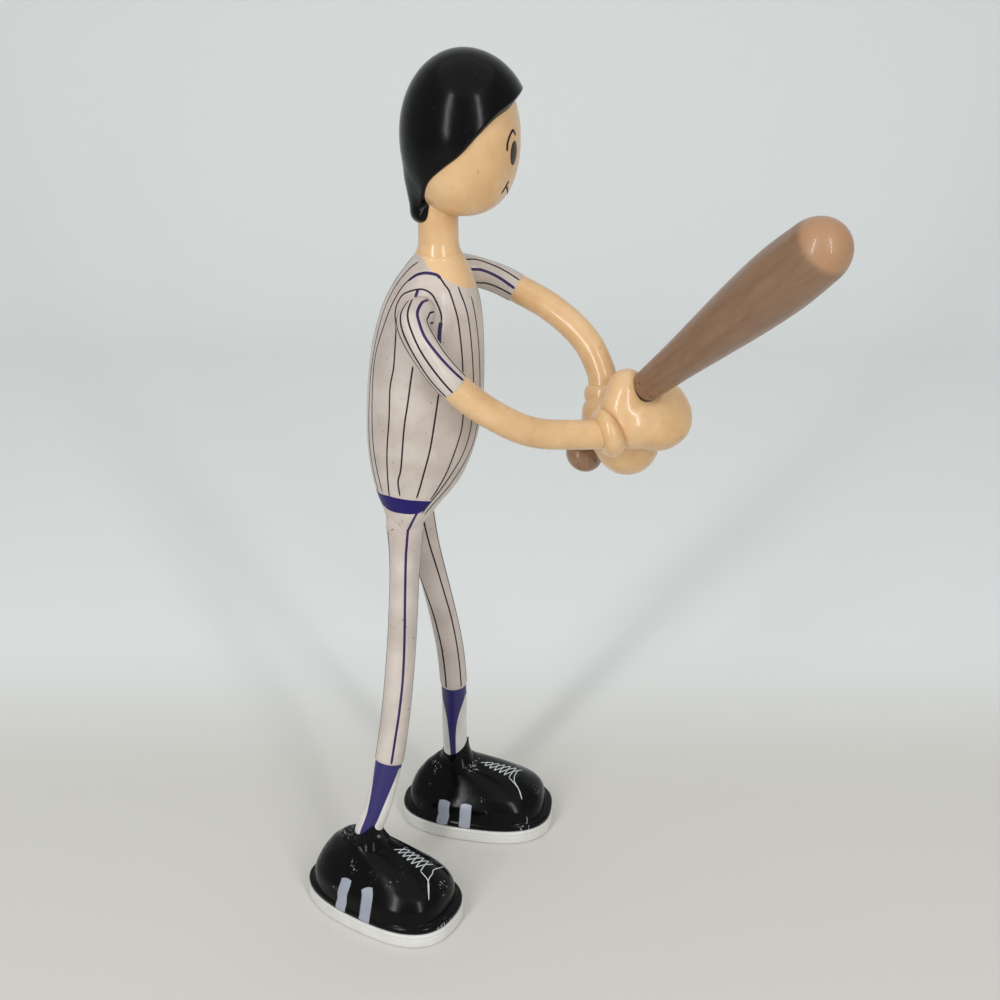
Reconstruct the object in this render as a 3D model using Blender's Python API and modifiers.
"""A bendy doll: a slim soft-moulded ball player that swings a bat.

The doll faces -Y and its right hand is on the -X side. Each limb is a moulded skin over a
bendable wire. The skin is divided where the wire bends, and a short flexible sleeve fills
each bend. Both fists are moulded round the bat's handle.
"""

import math

import bmesh
import bpy
import numpy as np
from mathutils import Matrix, Vector

MM = 0.001

# Clearances and wires
GAP = 0.3 * MM
WIRE_RADIUS = 0.5 * MM
WIRE_SETBACK = 1.0 * MM
BORE_OVERRUN = 0.6 * MM

# Torso: height, front y, back y and half width of each section
TORSO_SECTIONS = (
    (66.3, -2.9, 3.9, 6.3),
    (69.5, -4.2, 4.4, 6.6),
    (74.0, -7.9, 5.4, 7.6),
    (80.0, -11.2, 6.1, 9.1),
    (87.0, -12.5, 6.0, 9.9),
    (95.0, -12.7, 4.7, 9.8),
    (101.5, -12.4, 2.7, 8.9),
    (105.5, -11.6, 0.4, 7.1),
    (108.3, -10.6, -1.5, 5.2),
    (110.2, -9.6, -2.1, 3.9),
)
TORSO_ROUNDNESS = 2.15
TORSO_SIDES = 26
TORSO_RING_STEP = 2.8 * MM

# Arms: the shoulder line, then hand-placed points of each arm's centre line
RIGHT_SHOULDER = (-9.0, -3.3, 103.6)
LEFT_SHOULDER = (9.0, -5.5, 105.2)
RIGHT_ARM = (
    (-12.2, -2.4, 102.3),
    (-14.0, -4.7, 98.6),
    (-14.0, -8.9, 93.2),
    (-13.0, -14.3, 88.7),
    (-11.0, -20.1, 85.3),
    (-8.2, -26.9, 83.8),
    (-5.8, -33.2, 83.5),
)
LEFT_ARM = (
    (12.1, -8.4, 105.2),
    (12.6, -13.9, 103.7),
    (11.9, -18.2, 101.8),
    (10.4, -23.9, 98.8),
    (7.8, -29.0, 94.6),
    (5.2, -31.7, 89.8),
    (3.8, -32.3, 85.4),
)
ARM_RADIUS = 2.35 * MM
SLEEVE_ROOT_RADIUS = 2.6 * MM
SLEEVE_ROOT_LENGTH = 7.0 * MM
SHOULDER_POCKET = 2.6 * MM
SHOULDER_FLEX = 2.9 * MM
ELBOW_ALONG_ARM = 18.4 * MM
ELBOW_FLEX = 5.6 * MM
WRIST_FLEX = 4.0 * MM

# Fists and bat
BAT_HEEL = (9.24, -28.15, 75.93)
BAT_AIM = (-30.0, -57.5, 118.2)
BAT_LENGTH = 68.5 * MM
BAT_BARREL_RADIUS = 4.85 * MM
BAT_HANDLE_RADIUS = 2.3 * MM
BAT_HEEL_LENGTH = 1.6 * MM
KNOB_HALF = (3.3 * MM, 3.3 * MM, 2.7 * MM)
KNOB_BACK = 1.3 * MM
KNOB_DROP = 2.6 * MM
BAT_SWELL = (
    (63.2, 0.9),
    (59.7, 0.98),
    (55.2, 1.0),
    (48.2, 0.86),
    (40.2, 0.6),
    (32.2, 0.33),
    (26.2, 0.17),
    (20.2, 0.05),
    (12.2, 0.0),
)
BAT_SIDES = 18
FIST_HALF = (6.2 * MM, 6.9 * MM, 4.25 * MM)
FIST_SQUARENESS = 2.6
FIST_DROP = 3.9 * MM
LEFT_GRIP = 8.9 * MM
RIGHT_GRIP = 17.8 * MM
THUMB_RADIUS = 2.6 * MM
THUMB_RISE = 1.8 * MM
THUMB_OUT = 2.2 * MM
CUFF_RADIUS = 3.4 * MM
CUFF_LENGTH = 3.0 * MM
HAND_WIRE = 2.6 * MM

# Neck and head
NECK_FOOT = (0.0, -5.85, 110.5)
NECK_TOP = (0.0, -5.85, 118.0)
NECK_RADIUS = 3.1 * MM
NECK_FLARE = 3.7 * MM
NOD_RISE = 1.5 * MM
NECK_FLEX = 3.0 * MM
HEAD_CENTRE = (0.0, -9.7, 128.1)
HEAD_HALF = (8.9, 8.65, 11.75)
CHIN_FULLNESS = 2.4
HAIR_FULLNESS = 2.1
HAIR_FORWARD = (0.0, -0.6, 0.0)
HAIR_THICKNESS = (0.6, 1.2, 0.35)
HAIR_CENTRE = tuple(at + away for at, away in zip(HEAD_CENTRE, HAIR_FORWARD))
HAIR_HALF = tuple(half + more for half, more in zip(HEAD_HALF, HAIR_THICKNESS))
HAIR_INSET = 0.5 * MM
HAIRLINE = ((-24.0, 138.6), (-15.5, 132.1), (-5.7, 123.5), (-3.8, 120.2), (-3.6, 108.0))
NAPE_CENTRE = (0.0, -4.6, 118.1)
NAPE_HALF = (4.6, 3.0, 3.7)
HEAD_WIRE = (
    (0.0, -6.2, 123.0),
    (0.0, -8.0, 127.5),
    (0.0, -11.2, 127.6),
    (0.0, -11.8, 124.0),
)

# Legs: hand-placed points of each leg's centre line, from the pelvis down to the ankle
RIGHT_LEG = (
    (-3.4, 0.4, 66.0),
    (-5.0, 0.4, 60.6),
    (-8.0, 1.1, 47.2),
    (-11.0, 2.2, 35.5),
    (-13.4, 3.7, 26.0),
    (-15.0, 5.7, 18.5),
)
LEFT_LEG = (
    (3.4, -1.1, 66.0),
    (3.7, -2.2, 60.6),
    (5.0, -5.1, 45.9),
    (5.8, -6.4, 37.4),
    (6.7, -6.9, 28.6),
    (7.7, -6.8, 20.6),
)
LEG_ROOT_RADIUS = 3.05 * MM
LEG_RADIUS = 2.38 * MM
LEG_ROOT_LENGTH = 15.0 * MM
SOCK_RADIUS = 2.25 * MM
RIGHT_SOCK = 10.4 * MM
LEFT_SOCK = 13.2 * MM
HIP_ALONG_LEG = 2.6 * MM
HIP_FLEX = 4.8 * MM
HIP_TRIM = 1.2 * MM
KNEE_ALONG_LEG = 26.5 * MM
KNEE_FLEX = 5.8 * MM
ANKLE_HEIGHT = 17.0 * MM
ANKLE_FLEX = 2.2 * MM
UPRIGHT_BELOW = 14.0 * MM

# Shoes: where each stands, how far its toe turns out, and its height, heel, toe and half width
RIGHT_SHOE = (-17.07, 4.93)
RIGHT_TOE_OUT = math.radians(28.6)
LEFT_SHOE = (8.2, -11.02)
LEFT_TOE_IN = math.radians(7.2)
SHOE_HALF_LENGTH = 14.25 * MM
SHOE_HALF_WIDTH = 8.4 * MM
SHOE_SQUARENESS = 2.55
SHOE_TOE_SPREAD = 0.12
SOLE_THICKNESS = 2.6 * MM
SOLE_EDGE = 0.35 * MM
WELT_THICKNESS = 1.0 * MM
SHOE_SECTIONS = (
    (4.3, -13.5, 13.5, 7.7, 2.55),
    (6.2, -13.1, 13.0, 7.4, 2.5),
    (7.6, -12.5, 12.0, 6.7, 2.35),
    (9.0, -11.6, 9.8, 5.8, 2.2),
    (10.3, -10.6, 7.3, 4.8, 2.1),
    (11.4, -9.7, 4.2, 4.0, 2.0),
    (12.3, -8.7, 1.2, 3.4, 2.0),
    (13.1, -7.8, -0.6, 3.0, 2.0),
)
SHOE_SIDES = 26
RIGHT_ANKLE = (-15.5, 7.4)
LEFT_ANKLE = (8.6, -6.95)
COLLAR_THICKNESS = 0.65 * MM
COLLAR_BACK_HEIGHT = 13.5 * MM
COLLAR_TONGUE_HEIGHT = 15.4 * MM
ANKLE_POCKET_FLOOR = 10.2 * MM
COLLAR_OPENING = 1.0 * MM
COLLAR_TRIM_SIDE = 8.0 * MM
COLLAR_TRIM_DEPTH = 12.0 * MM
FOOT_WIRE_HEIGHT = 6.0 * MM
FOOT_WIRE_BEND = 2.5 * MM
FOOT_WIRE_HEEL = 1.6 * MM
FOOT_WIRE_REACH = 8.5 * MM

# Armature inside the torso
SPINE = (
    (0.0, 1.1, 68.9),
    (0.0, 1.0, 72.5),
    (0.0, -0.6, 86.0),
    (0.0, -2.0, 98.0),
    (0.0, -2.75, 104.4),
    (0.0, -4.9, 108.0),
)
HIP_BRIDGE = ((-2.0, -0.2, 69.6), (0.0, -0.6, 70.7), (2.0, -0.9, 69.6))
CLAMP_SIZE = (4.0 * MM, 4.4 * MM, 3.4 * MM)

# Fineness of tubes, and how large the joints' markers are drawn
PIVOT_SIZE = 4.0 * MM
ROUTE_STEP = 2.8 * MM
END_STEP = 0.3 * MM
GRID_GAP = 0.1 * MM
SKIN_RESOLUTION = 4
WIRE_RESOLUTION = 1
HEAD_SEGMENTS = 24
HEAD_RINGS = 16
FIST_SEGMENTS = 18
FIST_RINGS = 11
THUMB_SEGMENTS = 16
THUMB_RINGS = 10
KNOB_SEGMENTS = 16
KNOB_RINGS = 10

# Colour, roughness and metallic value of each finish
FINISHES = {
    "skin": ((0.73, 0.45, 0.20), 0.35, 0.0),
    "jersey": ((0.58, 0.50, 0.46), 0.40, 0.0),
    "sock": ((0.80, 0.80, 0.80), 0.35, 0.0),
    "hair": ((0.01, 0.01, 0.012), 0.15, 0.0),
    "shoe": ((0.008, 0.008, 0.01), 0.12, 0.0),
    "sole": ((0.80, 0.80, 0.78), 0.40, 0.0),
    "bat": ((0.26, 0.14, 0.08), 0.35, 0.0),
    "wire": ((0.60, 0.60, 0.62), 0.30, 1.0),
}


def metres(point):
    return np.array(point, float) * MM


class Route:
    """A smooth line through placed points, read by the length walked from the first one."""

    SAMPLES = 24

    def __init__(self, points):
        knots = np.array(points, float)
        ends = 2 * knots[[0, -1]] - knots[[1, -2]]
        knots = np.vstack([ends[:1], knots, ends[1:]])
        share = np.linspace(0, 1, self.SAMPLES, endpoint=False)[:, None]
        pieces = []
        for a, b, c, d in zip(knots, knots[1:], knots[2:], knots[3:]):
            bend = 2 * b + (c - a) * share + (2 * a - 5 * b + 4 * c - d) * share**2
            pieces.append((bend + (3 * b - a - 3 * c + d) * share**3) / 2)
        self.points = np.vstack([*pieces, knots[-2:-1]])
        steps = np.linalg.norm(np.diff(self.points[:, :3], axis=0), axis=1)
        self.lengths = np.concatenate([[0], np.cumsum(steps)])
        self.length = float(self.lengths[-1])

    def at(self, length):
        """The point at a length, going straight on past either end."""
        inside = min(max(length, 0.0), self.length)
        point = np.array([np.interp(inside, self.lengths, axis) for axis in self.points.T])
        if inside != length:
            near = self.points[[0, 1]] if length < 0 else self.points[[-2, -1]]
            way = near[1] - near[0]
            point = point + way / np.linalg.norm(way[:3]) * (length - inside)
        return point

    def between(self, start, end, step=ROUTE_STEP):
        """Points on a grid shared by all tubes of a route, and a short step at each end."""
        first, last = start + END_STEP, end - END_STEP
        grid = np.arange(math.ceil(first / step), math.floor(last / step) + 1) * step
        inner = [first, *grid[(grid > first + GRID_GAP) & (grid < last - GRID_GAP)], last]
        return [(length, self.at(length)) for length in (start, *inner, end)]

    def length_at_height(self, height):
        """The length at which a route that goes down reaches a height."""
        return float(np.interp(-height, -self.points[:, 2], self.lengths))


def fresh_collection(name):
    collection = bpy.data.collections.new(name)
    bpy.context.scene.collection.children.link(collection)
    return collection


for old in list(bpy.data.objects):
    bpy.data.objects.remove(old, do_unlink=True)
DOLL = fresh_collection("bendy_doll")
CUTTERS = fresh_collection("cutters")


def make_finish(name):
    colour, roughness, metallic = FINISHES[name]
    material = bpy.data.materials.new(name)
    material.use_nodes = True
    shader = material.node_tree.nodes["Principled BSDF"]
    shader.inputs["Base Color"].default_value = (*colour, 1.0)
    shader.inputs["Roughness"].default_value = roughness
    shader.inputs["Metallic"].default_value = metallic
    return material


def make_object(name, mesh, finish=None):
    """A piece of the doll when it has a finish, and otherwise a cutter."""
    obj = bpy.data.objects.new(name, mesh)
    (DOLL if finish else CUTTERS).objects.link(obj)
    if finish:
        mesh.materials.append(make_finish(finish))
        mesh.shade_smooth()
        mesh.set_sharp_from_angle(angle=math.radians(40))
    else:
        obj.hide_render = True
        obj.display_type = "WIRE"
    return obj


def mesh_from(name, builder):
    """A mesh filled by a function that works on a bmesh."""
    mesh = bpy.data.meshes.new(name)
    bm = bmesh.new()
    builder(bm)
    bm.to_mesh(mesh)
    bm.free()
    return mesh


def tube(name, route, start, end, radius, finish=None, resolution=SKIN_RESOLUTION):
    """A round tube along a stretch of a route; radius is a number or a function of length."""
    stops = route.between(start, end)
    curve = bpy.data.curves.new(name, "CURVE")
    curve.dimensions = "3D"
    curve.bevel_depth = 1.0
    curve.bevel_resolution = resolution
    curve.use_fill_caps = True
    spline = curve.splines.new("POLY")
    spline.points.add(len(stops) - 1)
    for knot, (length, point) in zip(spline.points, stops):
        knot.co = (*point[:3], 1.0)
        knot.radius = radius(length) if callable(radius) else radius
    guide = bpy.data.objects.new(name + "_guide", curve)
    CUTTERS.objects.link(guide)
    bpy.context.view_layer.update()
    graph = bpy.context.evaluated_depsgraph_get()
    mesh = bpy.data.meshes.new_from_object(guide.evaluated_get(graph))
    bpy.data.objects.remove(guide, do_unlink=True)
    bm = bmesh.new()
    bm.from_mesh(mesh)
    bmesh.ops.remove_doubles(bm, verts=bm.verts, dist=1e-6)
    bmesh.ops.recalc_face_normals(bm, faces=bm.faces)
    bm.to_mesh(mesh)
    bm.free()
    mesh.materials.clear()
    return make_object(name, mesh, finish)


def loft(name, rings, finish=None):
    """A closed skin through rings of equally many points, listed from the bottom up."""

    def build(bm):
        rows = [[bm.verts.new(point) for point in ring] for ring in rings]
        for low, high in zip(rows, rows[1:]):
            for i in range(len(low)):
                j = (i + 1) % len(low)
                bm.faces.new((low[i], low[j], high[j], high[i]))
        bm.faces.new(reversed(rows[0]))
        bm.faces.new(rows[-1])

    return make_object(name, mesh_from(name, build), finish)


def squared(verts, upper, lower):
    """Makes the side outline of a unit sphere fuller where a power is over 2."""
    for vert in verts:
        power = upper if vert.co.z > 0 else lower
        around = math.hypot(vert.co.x, vert.co.y)
        vert.co = vert.co / (around**power + abs(vert.co.z) ** power) ** (1 / power)


def ball(name, centre, half, segments, rings, finish=None, upper=2.0, lower=2.0):
    """An ellipsoid with three half sizes, its halves fuller where a power is over 2."""

    def build(bm):
        bmesh.ops.create_uvsphere(bm, u_segments=segments, v_segments=rings, radius=1.0)
        squared(bm.verts, upper, lower)
        bmesh.ops.scale(bm, vec=Vector(half), verts=bm.verts)
        bmesh.ops.translate(bm, vec=Vector(centre), verts=bm.verts)

    return make_object(name, mesh_from(name, build), finish)


def box(name, centre, size, finish=None):
    def build(bm):
        bmesh.ops.create_cube(bm, size=1.0)
        bmesh.ops.scale(bm, vec=Vector(size), verts=bm.verts)
        bmesh.ops.translate(bm, vec=Vector(centre), verts=bm.verts)

    return make_object(name, mesh_from(name, build), finish)


def combine(obj, other, operation):
    modifier = obj.modifiers.new(operation.lower() + "_" + other.name, "BOOLEAN")
    modifier.operation = operation
    modifier.solver = "EXACT"
    modifier.object = other


def cut(obj, *cutters):
    for cutter in cutters:
        combine(obj, cutter, "DIFFERENCE")


def superellipse(half_along, half_side, power, sides, spread=0.0):
    """Points of a rounded oblong; spread widens it towards its positive end."""
    angle = np.arange(sides) * math.tau / sides
    along = np.sign(np.cos(angle)) * np.abs(np.cos(angle)) ** (2 / power)
    side = np.sign(np.sin(angle)) * np.abs(np.sin(angle)) ** (2 / power)
    return np.stack([half_along * along, half_side * side * (1 + spread * along)], 1)


def blend_radius(first, last, length):
    """A radius that eases from the first to the last value over a length."""

    def radius(place):
        share = min(max(place / length, 0.0), 1.0)
        return last + (first - last) * (1 - share) ** 2

    return radius


# The routes of the limbs, the neck and the bat
SHOULDER_MIDDLE = (metres(RIGHT_SHOULDER) + metres(LEFT_SHOULDER)) / 2
SHOULDER_HALF = np.linalg.norm(metres(LEFT_SHOULDER) - metres(RIGHT_SHOULDER)) / 2
BAT_WAY = metres(BAT_AIM) - metres(BAT_HEEL)
BAT_WAY = BAT_WAY / np.linalg.norm(BAT_WAY)
DROP_WAY = np.cross((1.0, 0.0, 0.0), BAT_WAY)
DROP_WAY = DROP_WAY / np.linalg.norm(DROP_WAY)
BAT_FRAME = Matrix(np.stack([np.cross(DROP_WAY, BAT_WAY), DROP_WAY, BAT_WAY], 1)).to_4x4()


def fist_centre(grip):
    return metres(BAT_HEEL) + BAT_WAY * grip + DROP_WAY * FIST_DROP


def shoe_direction(turn):
    return np.array([math.sin(turn), -math.cos(turn), 0.0])


def arm_route(shoulder, points, grip):
    inner = SHOULDER_MIDDLE + (metres(shoulder) - SHOULDER_MIDDLE) * 0.6
    return Route([inner, metres(shoulder), *map(metres, points), fist_centre(grip)])


def leg_route(points, ankle):
    heights = (UPRIGHT_BELOW, (UPRIGHT_BELOW + FOOT_WIRE_HEIGHT) / 2, FOOT_WIRE_HEIGHT)
    last = [np.array([*metres(ankle), height]) for height in heights]
    return Route([*map(metres, points), *last])


def arm_facts(side):
    right = side == "right"
    shoulder = RIGHT_SHOULDER if right else LEFT_SHOULDER
    grip = RIGHT_GRIP if right else LEFT_GRIP
    route = arm_route(shoulder, RIGHT_ARM if right else LEFT_ARM, grip)
    root = float(np.linalg.norm(metres(shoulder) - route.points[0]))
    cuff_point = metres((RIGHT_ARM if right else LEFT_ARM)[-1])
    cuff = float(route.lengths[np.linalg.norm(route.points - cuff_point, axis=1).argmin()])
    return {
        "route": route,
        "grip": grip,
        "shoulder": root,
        "elbow": root + ELBOW_ALONG_ARM,
        "wrist": cuff - CUFF_LENGTH / 2 - GAP - WRIST_FLEX / 2,
    }


def leg_facts(side):
    right = side == "right"
    ankle = RIGHT_ANKLE if right else LEFT_ANKLE
    route = leg_route(RIGHT_LEG if right else LEFT_LEG, ankle)
    return {
        "route": route,
        "shoe": RIGHT_SHOE if right else LEFT_SHOE,
        "turn": -RIGHT_TOE_OUT if right else -LEFT_TOE_IN,
        "sock": RIGHT_SOCK if right else LEFT_SOCK,
        "hip": HIP_ALONG_LEG,
        "knee": KNEE_ALONG_LEG,
        "ankle": route.length_at_height(ANKLE_HEIGHT),
    }


SIDES = ("right", "left")
ARMS = {side: arm_facts(side) for side in SIDES}
LEGS = {side: leg_facts(side) for side in SIDES}
NECK = Route([metres(NECK_FOOT), metres(NECK_TOP)])


def point_on(limb, joint):
    return limb["route"].at(limb[joint])


def line_axis(joint):
    """The axis through the same joint of both arms."""
    way = point_on(ARMS["left"], joint) - point_on(ARMS["right"], joint)
    return -way / np.linalg.norm(way)


def make_pivots():
    """One empty on each joint's axis, its own X along the axis, nested as the limbs are."""
    across = np.array([-1.0, 0.0, 0.0])
    upright = np.array([0.0, 0.0, 1.0])
    pivots = {"torso": (None, np.zeros(3), -across)}
    pivots["neck"] = ("torso", NECK.at(NOD_RISE), across)
    pivots["head"] = ("neck", metres(NECK_TOP), upright)
    for side in SIDES:
        arm, leg = ARMS[side], LEGS[side]
        names = (side + "_upper_arm", side + "_forearm", side + "_hand")
        for name, joint, parent in zip(
            names, ("shoulder", "elbow", "wrist"), ("torso", *names)
        ):
            pivots[name] = (parent, point_on(arm, joint), line_axis(joint))
        ankle_axis = np.cross(shoe_direction(leg["turn"]), upright)
        names = (side + "_thigh", side + "_shin", side + "_foot")
        axes = (across, -across, ankle_axis)
        for name, joint, parent, axis in zip(
            names, ("hip", "knee", "ankle"), ("torso", *names), axes
        ):
            pivots[name] = (parent, point_on(leg, joint), axis)
    pivots["bat"] = ("right_hand", metres(BAT_HEEL), BAT_WAY)
    made = {}
    for name, (parent, place, axis) in pivots.items():
        empty = bpy.data.objects.new(name + "_pivot", None)
        empty.empty_display_size = PIVOT_SIZE
        DOLL.objects.link(empty)
        empty.parent = made.get(parent)
        turned = Vector((1, 0, 0)).rotation_difference(Vector(axis)).to_matrix().to_4x4()
        empty.matrix_world = Matrix.Translation(Vector(place)) @ turned
        bpy.context.view_layer.update()
        made[name] = empty
    return made


PIVOTS = make_pivots()


def carry(body, *pieces):
    """Parents pieces to a body's pivot, where they are."""
    for piece in pieces:
        piece.parent = PIVOTS[body]
        piece.matrix_parent_inverse = PIVOTS[body].matrix_world.inverted()


def wire(name, route, start, end):
    return tube(name, route, start, end, WIRE_RADIUS, "wire", WIRE_RESOLUTION)


def wire_bore(name, route, start, end):
    return tube(
        name + "_bore",
        route,
        start - BORE_OVERRUN,
        end + BORE_OVERRUN,
        WIRE_RADIUS + GAP,
        resolution=WIRE_RESOLUTION,
    )


def skin(name, route, start, end, radius, finish):
    """A stretch of limb skin with the wire's bore through it."""
    piece = tube(name, route, start, end, radius, finish)
    cut(piece, wire_bore(name, route, start, end))
    return piece


def torso_ring(section):
    height, front, back, half_width = section
    outline = superellipse((back - front) / 2, half_width, TORSO_ROUNDNESS, TORSO_SIDES)
    ring = np.empty((len(outline), 3))
    ring[:, 0] = -outline[:, 1]
    ring[:, 1] = outline[:, 0] + (front + back) / 2
    ring[:, 2] = height
    return ring


def build_torso():
    sections = Route([metres(section) for section in TORSO_SECTIONS])
    stops = sections.between(0.0, sections.length, TORSO_RING_STEP)
    rings = [torso_ring((point[0], point[1], point[2], point[3])) for _, point in stops]
    torso = loft("torso_skin", rings, "jersey")
    spine = Route([*map(metres, SPINE), metres(NECK_FOOT)])
    spine_end = spine.length + NOD_RISE - WIRE_SETBACK
    shoulder_line = Route([metres(RIGHT_SHOULDER), metres(LEFT_SHOULDER)])
    yoke_start = SHOULDER_FLEX - SHOULDER_POCKET + WIRE_SETBACK
    yoke_end = shoulder_line.length - yoke_start
    right, left = LEGS["right"], LEGS["left"]
    hip_line = Route(
        [
            right["route"].at(right["hip"] - WIRE_SETBACK),
            right["route"].at(0.0),
            *map(metres, HIP_BRIDGE),
            left["route"].at(0.0),
            left["route"].at(left["hip"] - WIRE_SETBACK),
        ]
    )
    wires = [
        wire("spine_wire", spine, 0.0, spine_end),
        wire("shoulder_wire", shoulder_line, yoke_start, yoke_end),
        wire("hip_wire", hip_line, 0.0, hip_line.length),
    ]
    bores = [
        wire_bore("spine_wire", spine, 0.0, spine_end),
        wire_bore("shoulder_wire", shoulder_line, yoke_start, yoke_end),
        wire_bore("hip_wire", hip_line, 0.0, hip_line.length),
    ]
    cut(torso, *bores)
    clamps = []
    for name, crossing, other in (
        ("shoulder_clamp", SHOULDER_MIDDLE, bores[1]),
        ("hip_clamp", metres(HIP_BRIDGE[1]), bores[2]),
    ):
        behind = spine.at(float(np.interp(crossing[2], spine.points[:, 2], spine.lengths)))
        centre = (crossing + behind) / 2
        clamp = box(name, centre, CLAMP_SIZE, "wire")
        cut(clamp, bores[0], other)
        room = box(name + "_room", centre, [side + 2 * GAP for side in CLAMP_SIZE])
        cut(torso, room)
        clamps.append(clamp)
    for side in SIDES:
        arm = ARMS[side]
        pocket = tube(
            side + "_armhole",
            arm["route"],
            arm["shoulder"] - SHOULDER_POCKET - GAP,
            arm["shoulder"] + SHOULDER_FLEX,
            SLEEVE_ROOT_RADIUS + GAP,
        )
        cut(torso, pocket)
    carry("torso", torso, *wires, *clamps)


def build_arm(side):
    arm = ARMS[side]
    route, root = arm["route"], arm["shoulder"]
    sleeve_radius = blend_radius(SLEEVE_ROOT_RADIUS, ARM_RADIUS, SLEEVE_ROOT_LENGTH)

    def radius(place):
        return sleeve_radius(place - root)

    flex_end = root - SHOULDER_POCKET + SHOULDER_FLEX
    elbow = (arm["elbow"] - ELBOW_FLEX / 2, arm["elbow"] + ELBOW_FLEX / 2)
    wrist = (arm["wrist"] - WRIST_FLEX / 2, arm["wrist"] + WRIST_FLEX / 2)
    carry(
        side + "_upper_arm",
        skin(side + "_shoulder_flex", route, root - SHOULDER_POCKET, flex_end, radius, "jersey"),
        skin(side + "_sleeve", route, flex_end + GAP, elbow[0] - GAP, radius, "jersey"),
        wire(side + "_upper_arm_wire", route, flex_end, arm["elbow"] - WIRE_SETBACK),
    )
    wire_start, wire_end = arm["elbow"] + WIRE_SETBACK, arm["wrist"] - WIRE_SETBACK
    carry(
        side + "_forearm",
        skin(side + "_elbow_flex", route, *elbow, radius, "skin"),
        skin(side + "_forearm_skin", route, elbow[1] + GAP, wrist[0] - GAP, radius, "skin"),
        wire(side + "_forearm_wire", route, wire_start, wire_end),
    )
    carry(
        side + "_hand",
        skin(side + "_wrist_flex", route, *wrist, radius, "skin"),
        build_fist(side, arm, wrist[1] + GAP),
        wire(
            side + "_hand_wire",
            route,
            arm["wrist"] + WIRE_SETBACK,
            arm["wrist"] + WIRE_SETBACK + HAND_WIRE,
        ),
    )


def build_fist(side, arm, start):
    """A fist moulded round the bat: a squared ball on a cuffed wrist, bored for the bat."""
    centre = fist_centre(arm["grip"])
    cuff_end = start + CUFF_LENGTH

    def wrist_radius(place):
        across = (place - start) / CUFF_LENGTH
        if across <= 1.0:
            swell = math.sin(math.pi * min(max(across, 0.0), 1.0)) ** 0.5
            return ARM_RADIUS + (CUFF_RADIUS - ARM_RADIUS) * swell
        return ARM_RADIUS + (place - cuff_end) * 0.25

    def build(bm):
        bmesh.ops.create_uvsphere(
            bm, u_segments=FIST_SEGMENTS, v_segments=FIST_RINGS, radius=1.0
        )
        squared(bm.verts, FIST_SQUARENESS, FIST_SQUARENESS)
        bmesh.ops.scale(bm, vec=Vector(FIST_HALF), verts=bm.verts)
        bmesh.ops.transform(bm, matrix=BAT_FRAME, verts=bm.verts)
        bmesh.ops.translate(bm, vec=Vector(centre), verts=bm.verts)

    fist = make_object(side + "_fist", mesh_from(side + "_fist", build), "skin")
    route = arm["route"]
    wrist = tube(side + "_wrist_root", route, start, route.length - FIST_DROP, wrist_radius)
    combine(fist, wrist, "UNION")
    if side == "right":
        reach = BAT_WAY * (arm["grip"] + THUMB_RISE) - DROP_WAY * THUMB_OUT
        place = metres(BAT_HEEL) + reach
        size = [THUMB_RADIUS] * 3
        thumb = ball(side + "_thumb", place, size, THUMB_SEGMENTS, THUMB_RINGS)
        combine(fist, thumb, "UNION")
    wire_end = arm["wrist"] + WIRE_SETBACK + HAND_WIRE
    cut(fist, wire_bore(side + "_hand_wire", route, start, wire_end - GAP), BAT_BORE)
    return fist


def bat_profile(grow=0.0):
    """The bat's outline from its round end down to its heel, as (radius, height) pairs."""
    foot = BAT_SWELL[0][0] * MM
    radius = BAT_HANDLE_RADIUS + (BAT_BARREL_RADIUS - BAT_HANDLE_RADIUS) * BAT_SWELL[0][1]
    end = [
        (radius * math.cos(angle), foot + (BAT_LENGTH - foot) * math.sin(angle))
        for angle in np.radians(np.linspace(90, 15, 6))
    ]
    swell = BAT_BARREL_RADIUS - BAT_HANDLE_RADIUS
    taper = [(BAT_HANDLE_RADIUS + swell * ease, place * MM) for place, ease in BAT_SWELL]
    heel = [
        (BAT_HANDLE_RADIUS * math.cos(angle), BAT_HEEL_LENGTH * (1 - math.sin(angle)))
        for angle in np.radians(np.linspace(0, 90, 5))
    ]
    return [(radius + grow if radius > 1e-9 else 0.0, z) for radius, z in end + taper + heel]


def turned_bat(name, profile, finish=None):
    """A profile turned round the bat's axis."""

    def build(bm):
        points = [bm.verts.new((radius, 0.0, z)) for radius, z in profile]
        for a, b in zip(points, points[1:]):
            bm.edges.new((a, b))

    obj = make_object(name, mesh_from(name, build), finish)
    screw = obj.modifiers.new("turn", "SCREW")
    screw.axis = "Z"
    screw.steps = screw.render_steps = BAT_SIDES
    screw.use_merge_vertices = True
    screw.merge_threshold = 1e-5
    obj.matrix_world = Matrix.Translation(Vector(metres(BAT_HEEL))) @ BAT_FRAME
    return obj


BAT_BORE = turned_bat("bat_bore", bat_profile(GAP))


def build_bat():
    """The turned bat, with a round knob set low on its heel."""
    bat = turned_bat("bat", bat_profile(), "bat")
    knob = ball("bat_knob", (0.0, 0.0, 0.0), KNOB_HALF, KNOB_SEGMENTS, KNOB_RINGS)
    place = metres(BAT_HEEL) - BAT_WAY * KNOB_BACK + DROP_WAY * KNOB_DROP
    knob.matrix_world = Matrix.Translation(Vector(place)) @ BAT_FRAME
    combine(bat, knob, "UNION")
    carry("bat", bat)


def build_neck():
    flare = blend_radius(NECK_FLARE, NECK_RADIUS, NECK_FLEX)
    carry(
        "neck",
        skin("neck_flex", NECK, 0.0, NECK_FLEX, flare, "skin"),
        skin("neck_skin", NECK, NECK_FLEX + GAP, NECK.length, NECK_RADIUS, "skin"),
        wire("neck_wire", NECK, NOD_RISE + WIRE_SETBACK, NECK.length - GAP),
    )


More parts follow.
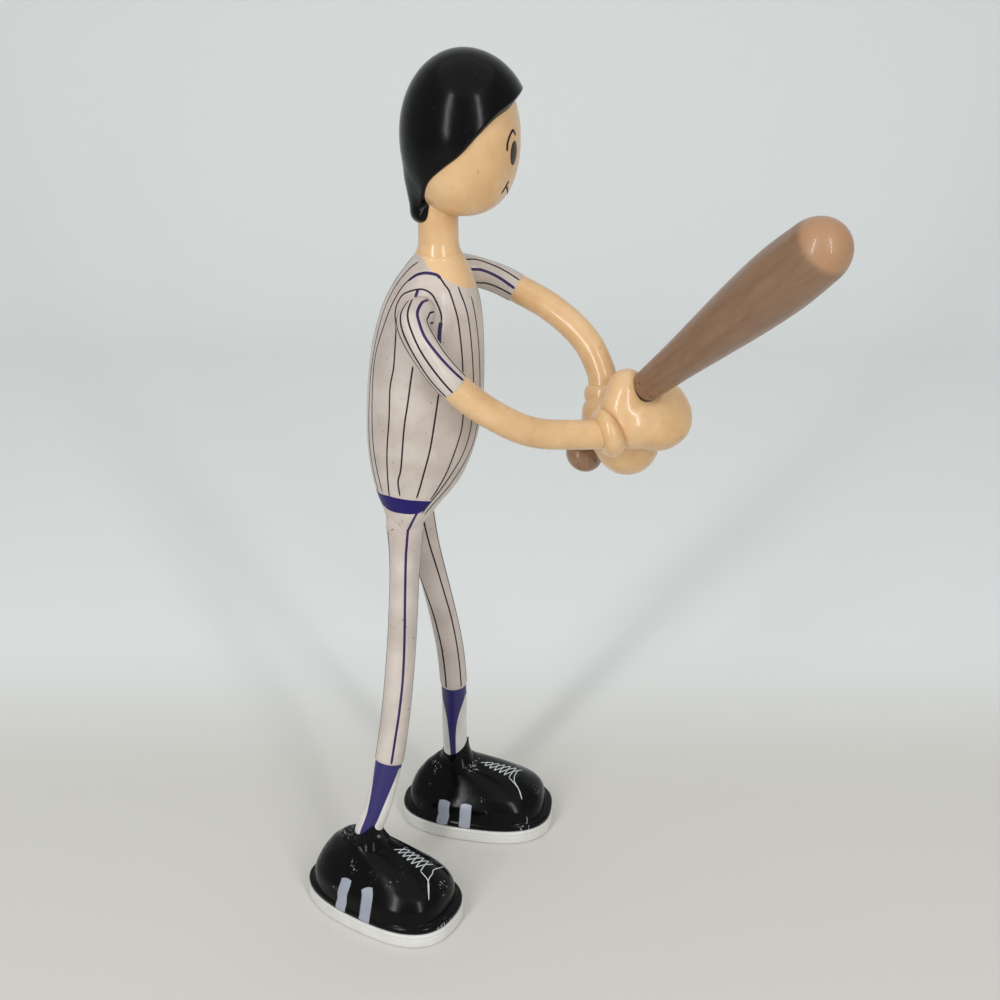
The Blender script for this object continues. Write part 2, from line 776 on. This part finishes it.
def hair_region(name, grow):
    """The side outline of the hair, as a block through the head along X."""
    line = np.array(HAIRLINE, float) * MM
    ways = np.diff(line, axis=0)
    ways /= np.linalg.norm(ways, axis=1)[:, None]
    outward = np.stack([ways[:, 1], -ways[:, 0]], 1)
    outward = np.vstack([outward[:1], outward]) + np.vstack([outward, outward[-1:]])
    line = line + grow * 2 * outward / np.linalg.norm(outward, axis=1)[:, None] ** 2
    wide, far, high = metres(HAIR_CENTRE) + 2 * metres(HAIR_HALF)
    corners = [*line, (far, line[-1, 1]), (far, high), (line[0, 0], high)]

    def build(bm):
        sides = [[bm.verts.new((x, *corner)) for corner in corners] for x in (-wide, wide)]
        bm.faces.new(reversed(sides[0]))
        bm.faces.new(sides[1])
        for i in range(len(corners)):
            j = (i + 1) % len(corners)
            bm.faces.new((sides[0][i], sides[0][j], sides[1][j], sides[1][i]))
        bmesh.ops.recalc_face_normals(bm, faces=bm.faces)

    return make_object(name, mesh_from(name, build))


def hair_form(name, grow, inset, finish=None):
    """The hair's solid: an outer ball and a nape lobe, hollowed by the head's ball."""
    hair = ball(
        name,
        metres(HAIR_CENTRE),
        metres(HAIR_HALF) + grow,
        HEAD_SEGMENTS,
        HEAD_RINGS,
        finish,
        upper=HAIR_FULLNESS,
    )
    nape = ball(
        name + "_nape", metres(NAPE_CENTRE), metres(NAPE_HALF) + grow, HEAD_SEGMENTS, HEAD_RINGS
    )
    combine(hair, nape, "UNION")
    combine(hair, hair_region(name + "_region", grow), "INTERSECT")
    hollow = ball(
        name + "_hollow",
        metres(HEAD_CENTRE),
        metres(HEAD_HALF) - inset,
        HEAD_SEGMENTS,
        HEAD_RINGS,
        lower=CHIN_FULLNESS,
    )
    cut(hair, hollow)
    return hair


def build_head():
    head = ball(
        "head_skin",
        metres(HEAD_CENTRE),
        metres(HEAD_HALF),
        HEAD_SEGMENTS,
        HEAD_RINGS,
        "skin",
        lower=CHIN_FULLNESS,
    )
    cut(head, hair_form("hair_seat", GAP, HAIR_INSET + GAP))
    hair = hair_form("hair_cap", 0.0, HAIR_INSET, "hair")
    socket = tube("neck_socket", NECK, NECK_FLEX, NECK.length + GAP, NECK_RADIUS + GAP)
    cut(head, socket)
    cut(hair, socket)
    above = metres(NECK_TOP) + np.array([0.0, 0.0, GAP])
    hook = Route([above, *map(metres, HEAD_WIRE)])
    cut(head, wire_bore("head_wire", hook, 0.0, hook.length))
    carry("head", head, hair, wire("head_wire", hook, 0.0, hook.length))


def build_leg(side):
    leg = LEGS[side]
    route, ankle = leg["route"], leg["ankle"]
    leg_radius = blend_radius(LEG_ROOT_RADIUS, LEG_RADIUS, LEG_ROOT_LENGTH)
    hem = ankle - leg["sock"]

    def radius(place):
        return leg_radius(place) if place < hem else SOCK_RADIUS

    hip = (-HIP_TRIM, HIP_FLEX)
    knee = (leg["knee"] - KNEE_FLEX / 2, leg["knee"] + KNEE_FLEX / 2)
    flex_top = ankle - ANKLE_FLEX
    flex_foot = route.length_at_height(ANKLE_POCKET_FLOOR + GAP)
    hip_flex = skin(side + "_hip_flex", route, *hip, radius, "jersey")
    carry(
        side + "_thigh",
        hip_flex,
        skin(side + "_thigh_skin", route, hip[1] + GAP, knee[0] - GAP, radius, "jersey"),
        wire(
            side + "_thigh_wire", route, leg["hip"] + WIRE_SETBACK, leg["knee"] - WIRE_SETBACK
        ),
    )
    carry(
        side + "_shin",
        skin(side + "_knee_flex", route, *knee, radius, "jersey"),
        skin(side + "_shin_skin", route, knee[1] + GAP, hem, radius, "jersey"),
        skin(side + "_sock", route, hem + GAP, flex_top - GAP, radius, "sock"),
        wire(side + "_shin_wire", route, leg["knee"] + WIRE_SETBACK, ankle - WIRE_SETBACK),
    )
    underside = TORSO_SECTIONS[0][0] * MM - GAP
    trim_half = HIP_TRIM + LEG_ROOT_RADIUS
    centre = route.at(0.0) * (1, 1, 0) + np.array([0.0, 0.0, underside + trim_half])
    cut(hip_flex, box(side + "_hip_trim", centre, [4 * LEG_ROOT_RADIUS] * 2 + [2 * trim_half]))
    flex = skin(side + "_ankle_flex", route, flex_top, flex_foot, radius, "sock")
    carry(side + "_foot", flex, *build_shoe(side, leg))


def shoe_ring(leg, height, heel, toe, half_width, power=SHOE_SQUARENESS):
    outline = superellipse((toe - heel) / 2, half_width, power, SHOE_SIDES, SHOE_TOE_SPREAD)
    way = shoe_direction(leg["turn"])
    side = np.array([-way[1], way[0], 0.0])
    middle = np.array([*metres(leg["shoe"]), height]) + way * (toe + heel) / 2
    return middle + outline[:, :1] * way + outline[:, 1:] * side


def build_shoe(side, leg):
    full = (-SHOE_HALF_LENGTH, SHOE_HALF_LENGTH, SHOE_HALF_WIDTH)
    half_length = SHOE_HALF_LENGTH - SOLE_EDGE
    inner = (-half_length, half_length, SHOE_HALF_WIDTH - SOLE_EDGE)
    sole = loft(
        side + "_shoe_sole",
        [
            shoe_ring(leg, 0.0, *inner),
            shoe_ring(leg, SOLE_EDGE, *full),
            shoe_ring(leg, SOLE_THICKNESS - SOLE_EDGE, *full),
            shoe_ring(leg, SOLE_THICKNESS, *inner),
        ],
        "sole",
    )
    welt = SOLE_THICKNESS + GAP
    dome = [shoe_ring(leg, *metres(section[:4]), section[4]) for section in SHOE_SECTIONS]
    upper = loft(
        side + "_shoe_upper",
        [shoe_ring(leg, welt, *inner), shoe_ring(leg, welt + WELT_THICKNESS, *inner), *dome],
        "shoe",
    )
    way = shoe_direction(leg["turn"])
    route = leg["route"]
    ground = np.array([*route.points[-1][:2], 0.0])
    up = np.array([0.0, 0.0, 1.0])
    pocket_radius = SOCK_RADIUS + GAP
    reach = pocket_radius + COLLAR_THICKNESS
    top = route.length_at_height(COLLAR_TONGUE_HEIGHT + COLLAR_OPENING)
    floor = route.length_at_height(ANKLE_POCKET_FLOOR)
    collar = tube(side + "_collar", route, top, floor, reach)
    rise = (COLLAR_TONGUE_HEIGHT - COLLAR_BACK_HEIGHT) / (2 * reach)
    middle_height = (COLLAR_TONGUE_HEIGHT + COLLAR_BACK_HEIGHT) / 2
    side_way = np.array([-way[1], way[0], 0.0])

    def build(bm):
        wide, tall = COLLAR_TRIM_SIDE, COLLAR_TRIM_DEPTH
        corners = []
        for lift in (0.0, tall):
            for along, across in ((-wide, -wide), (wide, -wide), (wide, wide), (-wide, wide)):
                height = middle_height + rise * along + lift
                place = ground + way * along + side_way * across + up * height
                corners.append(bm.verts.new(place))
        low, high = corners[:4], corners[4:]
        bm.faces.new(reversed(low))
        bm.faces.new(high)
        for i in range(4):
            j = (i + 1) % 4
            bm.faces.new((low[i], low[j], high[j], high[i]))
        bmesh.ops.recalc_face_normals(bm, faces=bm.faces)

    trim = make_object(side + "_collar_trim", mesh_from(side + "_collar_trim", build))
    cut(collar, trim)
    combine(upper, collar, "UNION")
    pocket = tube(side + "_pocket", route, top - COLLAR_OPENING, floor, pocket_radius)
    toe_route = Route(
        [
            route.at(leg["ankle"] + WIRE_SETBACK),
            ground + up * UPRIGHT_BELOW,
            ground + up * (FOOT_WIRE_HEIGHT + FOOT_WIRE_BEND),
            ground + up * FOOT_WIRE_HEIGHT + way * FOOT_WIRE_HEEL,
            ground + up * FOOT_WIRE_HEIGHT + way * FOOT_WIRE_REACH,
        ]
    )
    bore = wire_bore(side + "_foot_wire", toe_route, 0.0, toe_route.length)
    cut(upper, pocket, bore)
    return sole, upper, wire(side + "_foot_wire", toe_route, 0.0, toe_route.length)


build_torso()
for limb_side in SIDES:
    build_arm(limb_side)
    build_leg(limb_side)
build_bat()
build_neck()
build_head()


def stand_on_origin():
    """Moves the doll so that the origin lies under the middle of its box, on the floor."""
    bpy.context.view_layer.update()
    graph = bpy.context.evaluated_depsgraph_get()
    corners = []
    for obj in DOLL.objects:
        if obj.type == "MESH":
            posed = obj.evaluated_get(graph)
            corners += [posed.matrix_world @ vert.co for vert in posed.to_mesh().vertices]
            posed.to_mesh_clear()
    points = np.array(corners)
    low, high = points.min(axis=0), points.max(axis=0)
    shift = Vector((-(low[0] + high[0]) / 2, -(low[1] + high[1]) / 2, -low[2]))
    PIVOTS["torso"].location = shift
    for cutter in CUTTERS.objects:
        cutter.matrix_world = Matrix.Translation(shift) @ cutter.matrix_world
    bpy.context.view_layer.update()


stand_on_origin()
